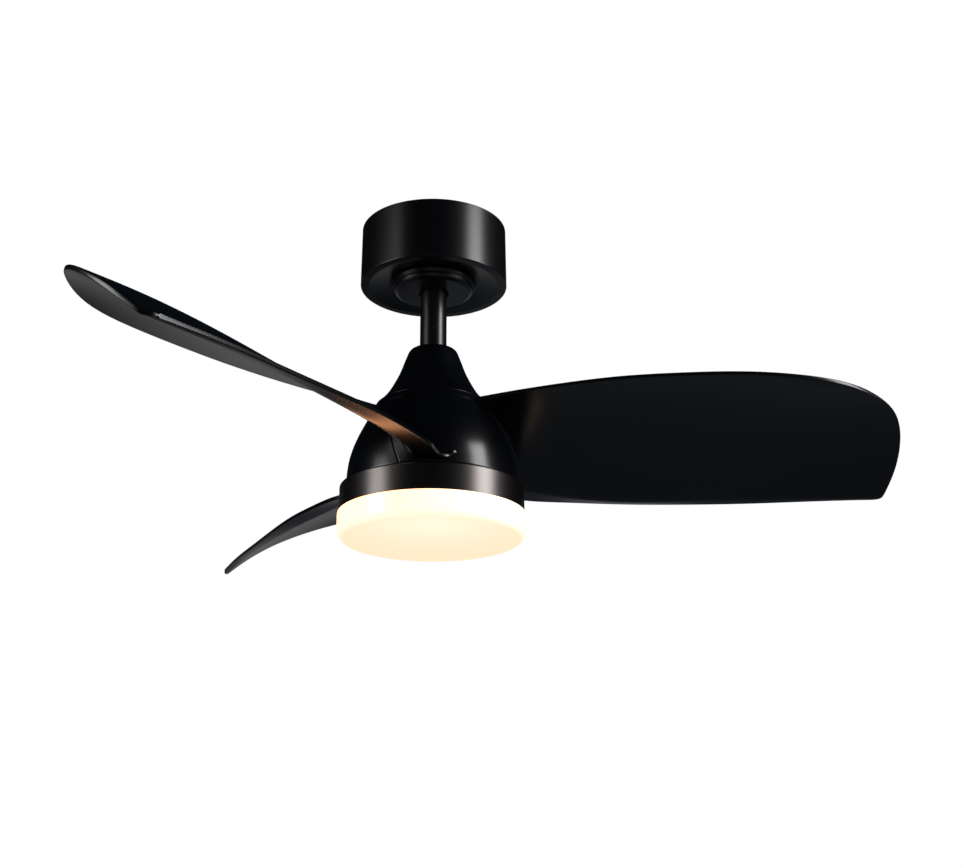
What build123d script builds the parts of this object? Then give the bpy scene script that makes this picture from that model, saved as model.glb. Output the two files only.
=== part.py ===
from build123d import *
import math
import os

# Ceiling fan with a round light: three moulded blades on a direct-drive motor, hung from a short rod.
# Millimetres. The ceiling is the plane z = 0, the fan hangs towards -Z and its axis is the Z axis.

os.makedirs("parts", exist_ok=True)

# Driving dimensions
SWEEP_R = 457.2  # blade tip radius
BLADES = 3
BLADE_AZIMUTH = -8.4  # degrees, first blade
CANOPY_TOP_R = 73.5
CANOPY_R = 74.2
CANOPY_H = 62.3
CANOPY_SHEET = 1.2
CANOPY_EDGE_R = 1.0
RECESS_Z = -57.7  # underside of the canopy's middle, where the trim disc sits
TRIM_R = 43.25
TRIM_Z = -69.0
ROD_R = 13.35  # three quarter inch pipe
ROD_BORE_R = 10.45
BALL_R = 24.0
BALL_Z = -38.0
BELL_TOP_Z = -131.5
BELL_BOTTOM_Z = -191.5
BELL_WALL = 2.2
CAP_R = 57.4  # short upright rim at the top of the motor dome
CAP_TOP_Z = -192.5
CAP_BOTTOM_Z = -199.5
DOME_BOTTOM_Z = -275.0
DOME_WALL = 3.0
FLANGE_Z = -262.5  # top of the rotor flange that carries the blades
FLANGE_T = 3.5
BLADE_T = 4.0
SEAM_ANGLE = 13.0  # degrees past the blade's own line, where one blade's root meets the next
ROOT_ANGLE = -40.0  # degrees, just before the leading edge reaches the dome's rim
ROOT_INSIDE_ANGLE = -36.0  # degrees, just inside the blade at the same place
SHAFT_R = 8.5
RING_R = 89.25
RING_TOP_Z = -276.6
RING_BOTTOM_Z = -302.35
RING_SHEET = 1.5
DIFFUSER_R = 90.7
DIFFUSER_BOTTOM_Z = -327.8
DIFFUSER_WALL = 2.2
FIT = 0.05  # radial running clearance
GAP = 0.3  # between pieces that pass each other

# Shared places worked out from the driving dimensions
PLATE_Z = RECESS_Z + CANOPY_SHEET  # underside of the bracket's plate, on the canopy's inner face
PLATE_T = 2.0
LINER_R = BALL_R + FIT + 1.6
EAR_X = 37.5
SLOT_X = 44.45
STUD_R = 66.0  # circle of the blade screws
CAP_SCREW_R = 47.0
PIN_Z = -30.0
COUPLING_PIN_Z = -156.0
YOKE_TOP_Z = -141.0
YOKE_FLANGE_Z = -174.0
ROD_BOTTOM_Z = -166.5
UPPER_BEARING_Z = -203.0
LOWER_BEARING_Z = -258.0
BEARING_B = 8.0
BEARING_R = 17.5
BALL_PITCH_R = 13.0
BALL_BALL_R = 2.7
PAN_Z = RING_TOP_Z - RING_SHEET - 0.2
BOARD_Z = -298.5
PEG_Z = -297.4

TOP = (Align.CENTER, Align.CENTER, Align.MAX)
BOTTOM = (Align.CENTER, Align.CENTER, Align.MIN)


def outline(*points):
    """Closed straight-sided outline of (radius, height) points, standing in the XZ plane."""
    with BuildSketch(Plane.XZ) as sketch:
        with BuildLine():
            Polyline(*points, close=True)
        make_face()
    return sketch.sketch


def tube(outer, inner, top, bottom):
    """Outline of a plain round tube or disc with a hole."""
    return outline((inner, top), (outer, top), (outer, bottom), (inner, bottom))


def pan_screws(places, face_z, length, radius, head_radius, head_height):
    """Pan-head screws driven upwards from a face that looks down, with a cross recess in each head."""
    recess = 0.6 * head_height
    with Locations(*[(x, y, face_z) for x, y in places]):
        Cylinder(head_radius, head_height, align=TOP)
        Cylinder(radius, length, align=BOTTOM)
    with Locations(*[(x, y, face_z - head_height) for x, y in places]):
        Box(1.3 * head_radius, 0.9, recess, align=BOTTOM, mode=Mode.SUBTRACT)
        Box(0.9, 1.3 * head_radius, recess, align=BOTTOM, mode=Mode.SUBTRACT)


def ring_places(radius, count, start):
    """Evenly spaced (x, y) places on a circle."""
    angles = [math.radians(start + 360.0 * i / count) for i in range(count)]
    return [(radius * math.cos(a), radius * math.sin(a)) for a in angles]


def inset(points, wall):
    """The same run of (radius, height) points moved inwards by the wall, square to the run."""
    moved = []
    for i, (r, z) in enumerate(points):
        r0, z0 = points[max(i - 1, 0)]
        r1, z1 = points[min(i + 1, len(points) - 1)]
        run = math.hypot(r1 - r0, z1 - z0)
        moved.append((r + wall * (z1 - z0) / run, z - wall * (r1 - r0) / run))
    return moved


def skin(points, wall):
    """Outline of a curved shell: a smooth outer run of points and the same run inset by the wall."""
    inner = inset(points, wall)
    with BuildSketch(Plane.XZ) as sketch:
        with BuildLine():
            Spline(*points)
            Line(points[-1], inner[-1])
            Spline(*reversed(inner))
            Line(inner[0], points[0])
        make_face()
    return sketch.sketch


# ------------------------------------------------------------------ ceiling mount

# Steel hanger bracket: two slotted ceiling flanges, two legs, a plate with ears for the canopy
# screws and a dished seat, open at the back so that the ball can be hooked in.
with BuildPart() as hanger_bracket:
    with BuildSketch(Plane.XZ):
        with Locations((0, PLATE_Z + PLATE_T / 2)):
            Rectangle(84, PLATE_T)
        with Locations((32, (PLATE_Z + PLATE_T) / 2), (-32, (PLATE_Z + PLATE_T) / 2)):
            Rectangle(2, -PLATE_Z - PLATE_T)
        with Locations((43, -1), (-43, -1)):
            Rectangle(24, 2)
        with Locations((29.5, -19.9), (-29.5, -19.9)):
            Rectangle(3, 1.2)
    extrude(amount=18, both=True)
    with BuildSketch(Plane.XZ):
        with BuildLine():
            inner_arc = CenterArc((0, BALL_Z), LINER_R + FIT, -15, -33)
            outer_arc = CenterArc((0, BALL_Z), LINER_R + FIT + 2, -15, -33)
            Line(inner_arc @ 0, outer_arc @ 0)
            Line(inner_arc @ 1, outer_arc @ 1)
        make_face()
    revolve(axis=Axis.Z)
    with Locations((0, 0, BALL_Z)):
        Sphere(LINER_R + FIT, mode=Mode.SUBTRACT)
    with Locations((0, 0, BALL_Z)):
        Box(29, 60, 60, align=(Align.CENTER, Align.MIN, Align.MAX), mode=Mode.SUBTRACT)
    with Locations((EAR_X, 0, PLATE_Z), (-EAR_X, 0, PLATE_Z)):
        Cylinder(1.65, 3 * PLATE_T, mode=Mode.SUBTRACT)
    with BuildSketch(Plane.XY):
        with Locations((SLOT_X, 0), (-SLOT_X, 0)):
            SlotOverall(14, 5)
    extrude(amount=-PLATE_T, mode=Mode.SUBTRACT)
hanger_bracket.part.label = "hanger_bracket"
export_step(hanger_bracket.part, "parts/hanger_bracket.step")

# Spun steel canopy: a round cup, open at the ceiling, whose floor dips up to a flat middle with a
# rolled collar round the rod hole.
CANOPY_FACE = [(71.2, -CANOPY_H), (66.0, -CANOPY_H), (46.0, RECESS_Z), (31.2, RECESS_Z)]
with BuildPart() as canopy:
    revolve(
        outline(
            (CANOPY_TOP_R, 0),
            (CANOPY_R, -CANOPY_H),
            CANOPY_FACE[1],
            CANOPY_FACE[2],
            CANOPY_FACE[3],
            (31.2, RECESS_Z - 3.5),
            (30.0, RECESS_Z - 3.5),
            (30.0, PLATE_Z),
            (46.0, PLATE_Z),
            (66.0, -CANOPY_H + CANOPY_SHEET),
            (CANOPY_R - CANOPY_SHEET, -CANOPY_H + CANOPY_SHEET),
            (CANOPY_TOP_R - CANOPY_SHEET, 0),
        ),
        axis=Axis.Z,
    )
    rim = canopy.edges().filter_by(GeomType.CIRCLE).group_by(Axis.Z)[0].sort_by(SortBy.RADIUS)[-1]
    fillet(rim, CANOPY_EDGE_R)
    with Locations((EAR_X, 0, PLATE_Z), (-EAR_X, 0, PLATE_Z)):
        Cylinder(2.2, 6, mode=Mode.SUBTRACT)
canopy.part.label = "canopy"
export_step(canopy.part, "parts/canopy.step")

# Two screws that draw the canopy up against the bracket's ears.
with BuildPart() as canopy_screws:
    pan_screws([(EAR_X, 0), (-EAR_X, 0)], RECESS_Z, 8.0, 1.6, 3.4, 2.4)
canopy_screws.part.label = "canopy_screws"
export_step(canopy_screws.part, "parts/canopy_screws.step")

# Trim disc that hides the screws: a bevelled rim, a groove and a rounded ridge round a flat face.
# Three tongues inside it grip the canopy's collar.
with BuildPart() as canopy_trim:
    with BuildSketch(Plane.XZ):
        with BuildLine():
            rim_top = RECESS_Z - 0.2
            Polyline((TRIM_R - 1.4, rim_top), (TRIM_R, rim_top), (43.1, -59.8), (41.6, -62.9), (40.6, -63.1))
            ThreePointArc((40.6, -63.1), (39.6, -67.0), (36.0, -68.6))
            face_top = TRIM_Z + 1.5
            Polyline((36.0, -68.6), (35.6, TRIM_Z), (15.2, TRIM_Z), (15.2, face_top), (35.6, face_top))
            ThreePointArc((35.6, face_top), (38.2, -65.8), (39.2, -61.6))
            Polyline((39.2, -61.6), (41.2, -60.4), (TRIM_R - 1.4, rim_top))
        make_face()
    revolve(axis=Axis.Z)
    with PolarLocations(32.2, 3, start_angle=90):
        with Locations((0, 0, TRIM_Z + 1.0)):
            Box(1.4, 9, 8.2, align=BOTTOM)
canopy_trim.part.label = "canopy_trim"
export_step(canopy_trim.part, "parts/canopy_trim.step")

# Remote-control receiver, carried on two small tabs of the bracket above the ball.
with BuildPart() as receiver:
    with Locations((0, 0, -19.3)):
        Box(58, 34, 16, align=BOTTOM)
    fillet(receiver.edges().filter_by(Axis.Z), 3)
    with Locations((0, 0, -3.3)):
        Box(42, 22, 0.6, align=TOP, mode=Mode.SUBTRACT)
receiver.part.label = "receiver"
export_step(receiver.part, "parts/receiver.step")

# Terminal block for the supply, on the outside of one leg, with three wire entries.
with BuildPart() as terminal_block:
    with Locations((-39.5, 0, -22)):
        Box(12.9, 27, 13)
    with Locations((-42, -8.5, -22), (-42, 0, -22), (-42, 8.5, -22)):
        Cylinder(2.3, 14, mode=Mode.SUBTRACT)
terminal_block.part.label = "terminal_block"
export_step(terminal_block.part, "parts/terminal_block.step")

# Green earth screw in the other leg.
with BuildPart() as ground_screw:
    with Locations(Location((33.05, 0, -36), (0, 90, 0))):
        Cylinder(3.6, 2.4, align=BOTTOM)
    with Locations(Location((35.5, 0, -36), (0, 90, 0))):
        Box(0.9, 5.0, 1.4, align=TOP, mode=Mode.SUBTRACT)
ground_screw.part.label = "ground_screw"
export_step(ground_screw.part, "parts/ground_screw.step")

# Nylon liner between the ball and the dished seat, open on the same side as the seat.
with BuildPart() as ball_seat_liner:
    with BuildSketch(Plane.XZ):
        with BuildLine():
            inner_arc = CenterArc((0, BALL_Z), BALL_R + FIT, -16, -30)
            outer_arc = CenterArc((0, BALL_Z), LINER_R, -16, -30)
            Line(inner_arc @ 0, outer_arc @ 0)
            Line(inner_arc @ 1, outer_arc @ 1)
        make_face()
    revolve(axis=Axis.Z)
    with Locations((0, 0, BALL_Z)):
        Box(31, 60, 60, align=(Align.CENTER, Align.MIN, Align.MAX), mode=Mode.SUBTRACT)
ball_seat_liner.part.label = "ball_seat_liner"
export_step(ball_seat_liner.part, "parts/ball_seat_liner.step")

# ------------------------------------------------------------------ hanging stem

# Hanger ball, cut flat above and below, bored for the rod, the cross pin and a set screw.
with BuildPart() as hanger_ball:
    with Locations((0, 0, BALL_Z)):
        Sphere(BALL_R)
        with Locations((0, 0, 14)):
            Box(60, 60, 20, align=BOTTOM, mode=Mode.SUBTRACT)
        with Locations((0, 0, -18.5)):
            Box(60, 60, 20, align=TOP, mode=Mode.SUBTRACT)
        Cylinder(ROD_R + FIT, 60, mode=Mode.SUBTRACT)
    with Locations(Location((0, 0, PIN_Z), (0, 90, 0))):
        Cylinder(3.05, 60, mode=Mode.SUBTRACT)
    with Locations(Location((0, -ROD_R, PIN_Z - 5), (90, 0, 0))):
        Cylinder(2.55, 20, align=BOTTOM, mode=Mode.SUBTRACT)
hanger_ball.part.label = "hanger_ball"
export_step(hanger_ball.part, "parts/hanger_ball.step")

with BuildPart() as ball_pin:
    with Locations(Location((0, 0, PIN_Z), (0, 90, 0))):
        Cylinder(3.0, 41)
    chamfer(ball_pin.edges().filter_by(GeomType.CIRCLE), 0.6)
ball_pin.part.label = "ball_pin"
export_step(ball_pin.part, "parts/ball_pin.step")

with BuildPart() as ball_set_screw:
    with Locations(Location((0, -ROD_R - FIT, PIN_Z - 5), (90, 0, 0))):
        Cylinder(2.5, 7, align=BOTTOM)
        with Locations((0, 0, 5)):
            Cylinder(1.2, 4, align=BOTTOM, mode=Mode.SUBTRACT)
ball_set_screw.part.label = "ball_set_screw"
export_step(ball_set_screw.part, "parts/ball_set_screw.step")

# Downrod: a short length of pipe, cross-drilled for the two pins.
with BuildPart() as downrod:
    revolve(tube(ROD_R, ROD_BORE_R, -26, ROD_BOTTOM_Z), axis=Axis.Z)
    for height in (PIN_Z, COUPLING_PIN_Z):
        with Locations(Location((0, 0, height), (0, 90, 0))):
            Cylinder(3.05, 40, mode=Mode.SUBTRACT)
downrod.part.label = "downrod"
export_step(downrod.part, "parts/downrod.step")

# Cast coupling: a socket for the rod, a flange that carries the bell, and a boss on the shaft.
with BuildPart() as motor_coupling:
    revolve(
        outline(
            (ROD_R + FIT, YOKE_TOP_Z),
            (17.0, YOKE_TOP_Z),
            (18.0, YOKE_TOP_Z - 1),
            (18.0, YOKE_FLANGE_Z),
            (36.0, YOKE_FLANGE_Z),
            (36.0, YOKE_FLANGE_Z - 4),
            (16.0, YOKE_FLANGE_Z - 5),
            (15.0, YOKE_FLANGE_Z - 11),
            (SHAFT_R + FIT, YOKE_FLANGE_Z - 11),
            (SHAFT_R + FIT, ROD_BOTTOM_Z - 0.2),
            (ROD_R + FIT, ROD_BOTTOM_Z - 0.2),
        ),
        axis=Axis.Z,
    )
    with Locations(Location((0, 0, COUPLING_PIN_Z), (0, 90, 0))):
        Cylinder(3.05, 40, mode=Mode.SUBTRACT)
    with Locations(Location((0, 0, COUPLING_PIN_Z + 7), (90, 0, 0))):
        Cylinder(2.55, 40, mode=Mode.SUBTRACT)
motor_coupling.part.label = "motor_coupling"
export_step(motor_coupling.part, "parts/motor_coupling.step")

# Clevis pin through the coupling and the rod, headed at one end and grooved at the other.
with BuildPart() as coupling_pin:
    with Locations(Location((-20, 0, COUPLING_PIN_Z), (0, 90, 0))):
        Cylinder(3.0, 42, align=BOTTOM)
        Cylinder(4.6, 1.8, align=TOP)
    groove = Cylinder(4.0, 1.2, mode=Mode.PRIVATE) - Cylinder(2.3, 1.2, mode=Mode.PRIVATE)
    add(Location((20, 0, COUPLING_PIN_Z), (0, 90, 0)) * groove, mode=Mode.SUBTRACT)
coupling_pin.part.label = "coupling_pin"
export_step(coupling_pin.part, "parts/coupling_pin.step")

# Spring clip in the pin's groove: a flat ring with a mouth.
with BuildPart() as coupling_clip:
    with BuildSketch(Plane.YZ.offset(19.6)):
        with Locations((0, COUPLING_PIN_Z)):
            Circle(5.2)
            Circle(2.4, mode=Mode.SUBTRACT)
            Rectangle(2.6, 6, align=(Align.CENTER, Align.MAX), mode=Mode.SUBTRACT)
    extrude(amount=0.8)
coupling_clip.part.label = "coupling_clip"
export_step(coupling_clip.part, "parts/coupling_clip.step")

# Two set screws that stop the rod from turning in the coupling.
with BuildPart() as coupling_set_screws:
    for turn in (90, -90):
        with Locations(Location((0, -math.copysign(ROD_R + FIT, turn), COUPLING_PIN_Z + 7), (turn, 0, 0))):
            Cylinder(2.5, 6, align=BOTTOM)
            with Locations((0, 0, 4)):
                Cylinder(1.2, 4, align=BOTTOM, mode=Mode.SUBTRACT)
coupling_set_screws.part.label = "coupling_set_screws"
export_step(coupling_set_screws.part, "parts/coupling_set_screws.step")

# Bell cover: a rounded shoulder round the rod, then a flare down to the motor. Three ribs inside
# it rest on the coupling's flange.
BELL_PROFILE = [
    (18.5, BELL_TOP_Z - 0.2),
    (23.2, BELL_TOP_Z - 2.2),
    (25.6, BELL_TOP_Z - 6.5),
    (29.3, BELL_TOP_Z - 16.5),
    (33.4, BELL_TOP_Z - 27.5),
    (38.8, BELL_TOP_Z - 38.5),
    (45.6, BELL_TOP_Z - 50.0),
    (54.2, BELL_BOTTOM_Z),
]
with BuildPart() as bell_cover:
    revolve(skin(BELL_PROFILE, BELL_WALL), axis=Axis.Z)
    split(bisect_by=Plane.XY.offset(BELL_BOTTOM_Z), keep=Keep.TOP)
    revolve(tube(19.0, 14.2, BELL_TOP_Z, BELL_TOP_Z - BELL_WALL), axis=Axis.Z)
    with PolarLocations(32.2, 3, start_angle=30):
        with Locations((0, 0, YOKE_FLANGE_Z)):
            Box(6.6, 2.4, 9, align=BOTTOM)
bell_cover.part.label = "bell_cover"
export_step(bell_cover.part, "parts/bell_cover.step")

with BuildPart() as bell_grommet:
    revolve(tube(17.5, ROD_R + FIT, BELL_TOP_Z - 2.4, BELL_TOP_Z - 6.5), axis=Axis.Z)
bell_grommet.part.label = "bell_grommet"
export_step(bell_grommet.part, "parts/bell_grommet.step")

# ------------------------------------------------------------------ fixed half of the motor

# Hollow motor shaft, with a side hole where the windings' leads come out.
SHAFT_TOP_Z = ROD_BOTTOM_Z - 0.4
SHAFT_BOTTOM_Z = -288.0
with BuildPart() as motor_shaft:
    revolve(tube(SHAFT_R, 5.2, SHAFT_TOP_Z, SHAFT_BOTTOM_Z), axis=Axis.Z)
    with Locations(Location((0, 0, -192), (0, 90, 0))):
        Cylinder(2.6, 12, align=BOTTOM, mode=Mode.SUBTRACT)
motor_shaft.part.label = "motor_shaft"
export_step(motor_shaft.part, "parts/motor_shaft.step")

with BuildPart() as stator_hub:
    revolve(
        outline(
            (SHAFT_R + FIT, -213),
            (12.0, -213),
            (12.0, -216),
            (15.0, -216),
            (15.0, -246),
            (12.0, -246),
            (12.0, -250),
            (SHAFT_R + FIT, -250),
        ),
        axis=Axis.Z,
    )
stator_hub.part.label = "stator_hub"
export_step(stator_hub.part, "parts/stator_hub.step")

# Laminated stator: a ring with twelve teeth, each ending in a wider shoe.
TEETH = 12
STATOR_TOP_Z = -217.0
STACK = 28.0
with BuildPart() as stator_core:
    with BuildSketch(Plane.XY.offset(STATOR_TOP_Z)):
        Circle(25)
        with PolarLocations(0, TEETH):
            with Locations((31, 0)):
                Rectangle(20, 6)
            with Locations((41, 0)):
                Rectangle(2.8, 15)
        Circle(15.0 + FIT, mode=Mode.SUBTRACT)
        Circle(43.0, mode=Mode.INTERSECT)
    extrude(amount=-STACK)
stator_core.part.label = "stator_core"
export_step(stator_core.part, "parts/stator_core.step")

# Twelve coils, one round each tooth.
with BuildPart() as stator_windings:
    with PolarLocations(32.6, TEETH):
        with Locations((0, 0, STATOR_TOP_Z - STACK / 2)):
            Box(11.6, 12, STACK + 7)
    fillet(stator_windings.edges().filter_by(GeomType.LINE).group_by(SortBy.LENGTH)[0], 1.5)
    with PolarLocations(32.6, TEETH):
        with Locations((0, 0, STATOR_TOP_Z - STACK / 2)):
            Box(14, 6.2, STACK + 0.2, mode=Mode.SUBTRACT)
stator_windings.part.label = "stator_windings"
export_step(stator_windings.part, "parts/stator_windings.step")

# ------------------------------------------------------------------ bearings

for name, top in (("upper_bearing", UPPER_BEARING_Z), ("lower_bearing", LOWER_BEARING_Z)):
    middle = top - BEARING_B / 2
    bottom = top - BEARING_B
    with BuildPart() as inner_race:
        revolve(tube(11.4, SHAFT_R + FIT, top, bottom), axis=Axis.Z)
        with Locations((0, 0, middle)):
            Torus(BALL_PITCH_R, BALL_BALL_R + FIT, mode=Mode.SUBTRACT)
    inner_race.part.label = name + "_inner_race"
    export_step(inner_race.part, "parts/" + name + "_inner_race.step")
    with BuildPart() as outer_race:
        revolve(tube(BEARING_R, 14.6, top, bottom), axis=Axis.Z)
        with Locations((0, 0, middle)):
            Torus(BALL_PITCH_R, BALL_BALL_R + FIT, mode=Mode.SUBTRACT)
    outer_race.part.label = name + "_outer_race"
    export_step(outer_race.part, "parts/" + name + "_outer_race.step")
    with BuildPart() as balls:
        with Locations((0, 0, middle)):
            with PolarLocations(BALL_PITCH_R, 10):
                Sphere(BALL_BALL_R)
    balls.part.label = name + "_balls"
    export_step(balls.part, "parts/" + name + "_balls.step")

# ------------------------------------------------------------------ turning half of the motor

# Upper end bell of the rotor: a disc with a bearing seat below it and a short skirt round the can.
CAN_R = 49.4
HOUSING_R = 52.0
with BuildPart() as rotor_upper_housing:
    revolve(
        outline(
            (14.9, CAP_BOTTOM_Z),
            (HOUSING_R, CAP_BOTTOM_Z),
            (HOUSING_R, -210),
            (CAN_R + FIT, -210),
            (CAN_R + FIT, UPPER_BEARING_Z),
            (21.5, UPPER_BEARING_Z),
            (21.5, -211),
            (BEARING_R + FIT, -211),
            (BEARING_R + FIT, UPPER_BEARING_Z + FIT),
            (14.9, UPPER_BEARING_Z + FIT),
        ),
        axis=Axis.Z,
    )
    with Locations(*[(x, y, CAP_BOTTOM_Z) for x, y in ring_places(CAP_SCREW_R, 3, 30)]):
        Cylinder(1.35, 10, mode=Mode.SUBTRACT)
rotor_upper_housing.part.label = "rotor_upper_housing"
export_step(rotor_upper_housing.part, "parts/rotor_upper_housing.step")

# Steel can, the magnets' return path.
CAN_BOTTOM_Z = FLANGE_Z + 0.1
with BuildPart() as rotor_can:
    revolve(tube(CAN_R, 47.0, UPPER_BEARING_Z - FIT, CAN_BOTTOM_Z), axis=Axis.Z)
rotor_can.part.label = "rotor_can"
export_step(rotor_can.part, "parts/rotor_can.step")

# Fourteen curved magnets inside the can.
MAGNETS = 14
with BuildPart() as rotor_magnets:
    with BuildSketch(Plane.XY.offset(STATOR_TOP_Z + 4)):
        Circle(47.0 - FIT)
        Circle(44.2, mode=Mode.SUBTRACT)
        with PolarLocations(45.5, MAGNETS):
            Rectangle(8, 2.4, mode=Mode.SUBTRACT)
    extrude(amount=-STACK - 8)
rotor_magnets.part.label = "rotor_magnets"
export_step(rotor_magnets.part, "parts/rotor_magnets.step")

# Lower end bell of the rotor: bearing seat, a wall that centres the can and a wide flange for the
# blades' screws.
FLANGE_BOTTOM_Z = FLANGE_Z - FLANGE_T
with BuildPart() as rotor_lower_housing:
    revolve(
        outline(
            (BEARING_R + FIT, LOWER_BEARING_Z),
            (21.5, LOWER_BEARING_Z),
            (21.5, FLANGE_Z),
            (CAN_R + FIT, FLANGE_Z),
            (CAN_R + FIT, FLANGE_Z + 7),
            (HOUSING_R, FLANGE_Z + 7),
            (HOUSING_R, FLANGE_Z),
            (72.0, FLANGE_Z),
            (72.0, FLANGE_BOTTOM_Z),
            (21.5, FLANGE_BOTTOM_Z),
            (19.0, -267.6),
            (14.9, -267.6),
            (14.9, LOWER_BEARING_Z - BEARING_B - FIT),
            (BEARING_R + FIT, LOWER_BEARING_Z - BEARING_B - FIT),
        ),
        axis=Axis.Z,
    )
    with Locations(*[(x, y, FLANGE_Z) for x, y in ring_places(STUD_R, 9, BLADE_AZIMUTH + 20)]):
        Cylinder(2.2, 10, mode=Mode.SUBTRACT)
rotor_lower_housing.part.label = "rotor_lower_housing"
export_step(rotor_lower_housing.part, "parts/rotor_lower_housing.step")

# Cap ring: the short upright rim between the bell and the dome, on three sunk screws.
with BuildPart() as dome_cap:
    revolve(
        outline(
            (43.0, CAP_TOP_Z),
            (CAP_R, CAP_TOP_Z),
            (CAP_R, CAP_BOTTOM_Z),
            (CAP_R - 2, CAP_BOTTOM_Z),
            (CAP_R - 2, CAP_TOP_Z - 2.4),
            (43.0, CAP_TOP_Z - 2.4),
        ),
        axis=Axis.Z,
    )
    fillet(dome_cap.edges().filter_by(GeomType.CIRCLE).group_by(Axis.Z)[-1].sort_by(SortBy.RADIUS)[-1], 0.8)
    with Locations(*[(x, y, CAP_BOTTOM_Z) for x, y in ring_places(CAP_SCREW_R, 3, 30)]):
        Cylinder(4.0, CAP_TOP_Z - CAP_BOTTOM_Z, align=BOTTOM)
        Cylinder(1.7, 10, align=BOTTOM, mode=Mode.SUBTRACT)
    with Locations(*[(x, y, CAP_TOP_Z) for x, y in ring_places(CAP_SCREW_R, 3, 30)]):
        Cylinder(3.1, 2.2, align=TOP, mode=Mode.SUBTRACT)
dome_cap.part.label = "dome_cap"
export_step(dome_cap.part, "parts/dome_cap.step")

with BuildPart() as cap_screws:
    with Locations(*[(x, y, CAP_TOP_Z - 2.2) for x, y in ring_places(CAP_SCREW_R, 3, 30)]):
        Cylinder(2.9, 1.9, align=BOTTOM)
        Cylinder(1.3, 8, align=TOP)
    with Locations(*[(x, y, CAP_TOP_Z - 0.3) for x, y in ring_places(CAP_SCREW_R, 3, 30)]):
        Box(3.6, 0.8, 1.0, align=TOP, mode=Mode.SUBTRACT)
        Box(0.8, 3.6, 1.0, align=TOP, mode=Mode.SUBTRACT)
cap_screws.part.label = "cap_screws"
export_step(cap_screws.part, "parts/cap_screws.step")

# ------------------------------------------------------------------ blades

# The dome's outer run, from under the cap ring to just above the light.
DOME_PROFILE = [
    (59.2, CAP_BOTTOM_Z - GAP),
    (64.3, -210.0),
    (69.4, -220.0),
    (74.0, -230.0),
    (77.8, -240.0),
    (80.6, -250.0),
    (82.2, -260.0),
    (83.2, DOME_BOTTOM_Z),
]

# Stations along the blade: distance out, then (across, height) of the leading edge, of the crease
# where the steep middle turns into the flat trailing lip, and of the trailing edge, and the bow of
# the middle, which bulges more towards the tip.
BLADE_STATIONS = [
    (44, (-34.5, -199.0), (22.0, -263.0), (47.0, -271.5), 0.6),
    (86, (-46.5, -198.0), (43.0, -268.0), (69.5, -271.5), 0.6),
    (130, (-57.5, -197.3), (60.5, -272.0), (81.5, -271.5), 0.6),
    (185, (-67.5, -196.8), (75.5, -274.4), (92.0, -272.2), 0.6),
    (250, (-71.8, -197.4), (83.0, -273.4), (96.3, -273.5), 0.6),
    (320, (-66.0, -199.8), (89.8, -272.7), (98.8, -274.0), 0.857),
    (390, (-58.0, -204.0), (92.8, -273.7), (100.4, -273.4), 1.113),
    (470, (-52.0, -209.0), (93.2, -275.2), (94.6, -275.4), 1.15),
]
TIP = [(330, -66.5), (386, -49.0), (430, -13.5), (446.0, 9.0), (454.4, 42.0), (452.4, 64.0), (437.8, 93.6)]


def blade_underside(lead, crease, bow):
    """Points from the crease up to the leading edge: steep at the crease, flattening towards the edge."""
    points = []
    for s in (0.0, 0.2, 0.45, 0.72, 1.0):
        rise = (1 + bow) * s - bow * s * s
        points.append((crease[0] + (lead[0] - crease[0]) * s, crease[1] + (lead[1] - crease[1]) * rise))
    return points


def blade_section(distance, lead, crease, trail, bow):
    """One upright slice through the blade, square to its length, with a rounded leading edge."""
    under = blade_underside(lead, crease, bow)
    upper = inset(under, BLADE_T)
    lip_top = (trail[0], trail[1] + 0.8 * BLADE_T)
    nose = (lead[0] - 0.4 * BLADE_T, lead[1] + 0.6 * BLADE_T)
    with BuildSketch(Plane.YZ.offset(distance)) as slice_sketch:
        with BuildLine():
            Spline(*under)
            ThreePointArc(under[-1], nose, upper[-1])
            Spline(*reversed(upper))
            Line(upper[0], lip_top)
            Line(lip_top, trail)
            Line(trail, under[0])
        make_face()
    return slice_sketch.sketch


def below_blade(distance, lead, crease, trail, bow):
    """The space under one slice, down past the dome's lower edge."""
    under = blade_underside(lead, crease, bow)
    floor = DOME_BOTTOM_Z - 10
    with BuildSketch(Plane.YZ.offset(distance)) as slice_sketch:
        with BuildLine():
            Spline(*under)
            Polyline(under[-1], (-95, under[-1][1]), (-95, floor), (trail[0], floor), trail, under[0])
        make_face()
    return slice_sketch.sketch


def dome_wedge(start, end):
    """The dome's shell between two azimuths, in degrees from the blade's own line."""
    shell = revolve(skin(DOME_PROFILE, DOME_WALL), axis=Axis.Z, revolution_arc=end - start, mode=Mode.PRIVATE)
    return shell.rotate(Axis.Z, start)


with BuildPart() as blade_loft:
    loft([blade_section(*station) for station in BLADE_STATIONS])
    with BuildSketch(Plane.XY.offset(-180)):
        with BuildLine():
            tip_line = Spline(*TIP)
            Polyline(TIP[-1], (437.8, 130), (20, 130), (20, -130), (330, -130), TIP[0])
        make_face()
    extrude(amount=-120, mode=Mode.INTERSECT)

with BuildPart() as under_space:
    loft([below_blade(*station) for station in BLADE_STATIONS[:3]])


# Inside of the dome, cleared out of the blade's root, and the cap ring's room above it.
with BuildPart() as dome_room:
    inner_run = inset(DOME_PROFILE, DOME_WALL)
    with BuildSketch(Plane.XZ):
        with BuildLine():
            Spline(*inner_run)
            room_top = CAP_BOTTOM_Z - GAP
            room_bottom = inner_run[-1][1]
            Polyline(inner_run[-1], (0, room_bottom), (0, room_top), (inner_run[0][0], room_top), inner_run[0])
        make_face()
    revolve(axis=Axis.Z)
    revolve(tube(CAP_R + GAP, 0, CAP_TOP_Z + 10, CAP_BOTTOM_Z - GAP), axis=Axis.Z)

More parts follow.
